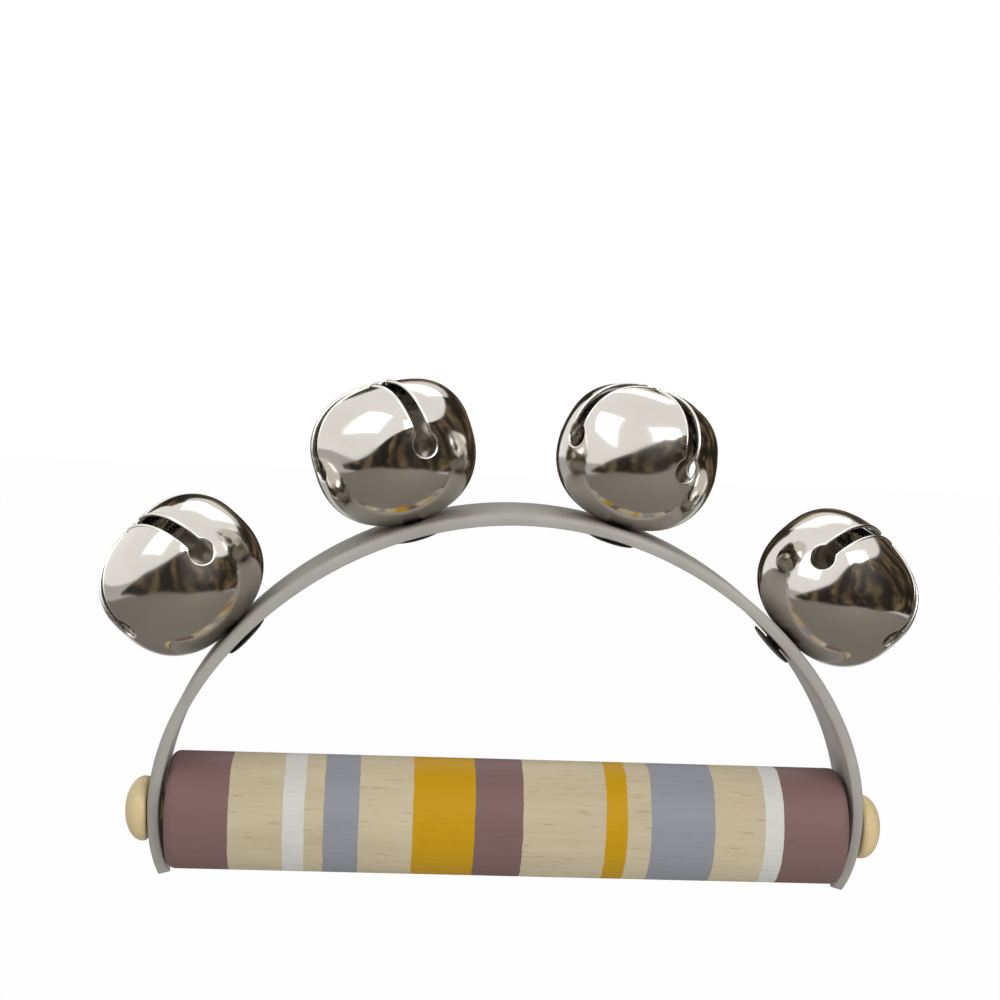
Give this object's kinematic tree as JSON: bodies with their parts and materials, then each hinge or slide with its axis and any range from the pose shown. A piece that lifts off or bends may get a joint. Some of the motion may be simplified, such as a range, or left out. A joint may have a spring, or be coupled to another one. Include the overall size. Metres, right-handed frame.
{
  "type": "hand jingle bell",
  "caption": "Hand-held jingle bells: a banded turned wooden handle under an arched strap that carries a row of slotted round bells, each with a loose pellet inside.",
  "frame": {"origin": "middle of the handle, on its axis, where a hand closes round it", "axes": "+X along the handle, +Y away from the viewer of the picture, +Z from the handle up to the crown of the strap"},
  "size_m": [0.174, 0.0344, 0.1097],
  "materials": {
    "handle_beech": "bare beech with painted matt bands in plum, white, blue-grey and mustard",
    "pin_beech": "pale bare beech",
    "strap_plastic": "warm light grey, satin",
    "bell_nickel": "polished nickel plate on pressed steel",
    "rivet_steel": "dark, blackened",
    "mandrel_steel": "bright",
    "pellet_steel": "bright"
  },
  "bodies": {
    "handle": {"handle": "handle_beech", "handle_pin_left": "pin_beech", "handle_pin_right": "pin_beech"},
    "strap": {"strap": "strap_plastic", "rivet_1": "rivet_steel", "rivet_2": "rivet_steel", "rivet_3": "rivet_steel", "rivet_4": "rivet_steel", "rivet_mandrel_1": "mandrel_steel", "rivet_mandrel_2": "mandrel_steel", "rivet_mandrel_3": "mandrel_steel", "rivet_mandrel_4": "mandrel_steel"},
    "bell_1": {"bell_1": "bell_nickel"},
    "bell_2": {"bell_2": "bell_nickel"},
    "bell_3": {"bell_3": "bell_nickel"},
    "bell_4": {"bell_4": "bell_nickel"},
    "pellet_1": {"pellet_1": "pellet_steel"},
    "pellet_2": {"pellet_2": "pellet_steel"},
    "pellet_3": {"pellet_3": "pellet_steel"},
    "pellet_4": {"pellet_4": "pellet_steel"}
  },
  "joints": [
    {"name": "strap_swing", "type": "hinge", "parent": "handle", "child": "strap", "pos_m": [0, 0, 0], "axis": [1, 0, 0], "continuous": true},
    {"name": "bell_1_swivel", "type": "hinge", "parent": "strap", "child": "bell_1", "pos_m": [-0.05968, 0, 0.04054], "axis": [-0.7421, 0, 0.6703], "continuous": true},
    {"name": "pellet_1_roll", "type": "hinge", "parent": "bell_1", "child": "pellet_1", "pos_m": [-0.07032, 0, 0.05015], "axis": [0, 1, 0], "range_deg": [-6, 270.2]},
    {"name": "bell_2_swivel", "type": "hinge", "parent": "strap", "child": "bell_2", "pos_m": [-0.0229, 0, 0.06417], "axis": [-0.2997, 0, 0.954], "continuous": true},
    {"name": "pellet_2_roll", "type": "hinge", "parent": "bell_2", "child": "pellet_2", "pos_m": [-0.0272, 0, 0.07785], "axis": [0, 1, 0], "range_deg": [0, 277.2]},
    {"name": "bell_3_swivel", "type": "hinge", "parent": "strap", "child": "bell_3", "pos_m": [0.02022, 0, 0.06496], "axis": [0.2653, 0, 0.9642], "continuous": true},
    {"name": "pellet_3_roll", "type": "hinge", "parent": "bell_3", "child": "pellet_3", "pos_m": [0.02403, 0, 0.07878], "axis": [0, 1, 0], "range_deg": [-277.2, 0]},
    {"name": "bell_4_swivel", "type": "hinge", "parent": "strap", "child": "bell_4", "pos_m": [0.05799, 0, 0.04235], "axis": [0.7207, 0, 0.6932], "continuous": true},
    {"name": "pellet_4_roll", "type": "hinge", "parent": "bell_4", "child": "pellet_4", "pos_m": [0.06833, 0, 0.05229], "axis": [0, 1, 0], "range_deg": [-272, 4.2]}
  ]
}
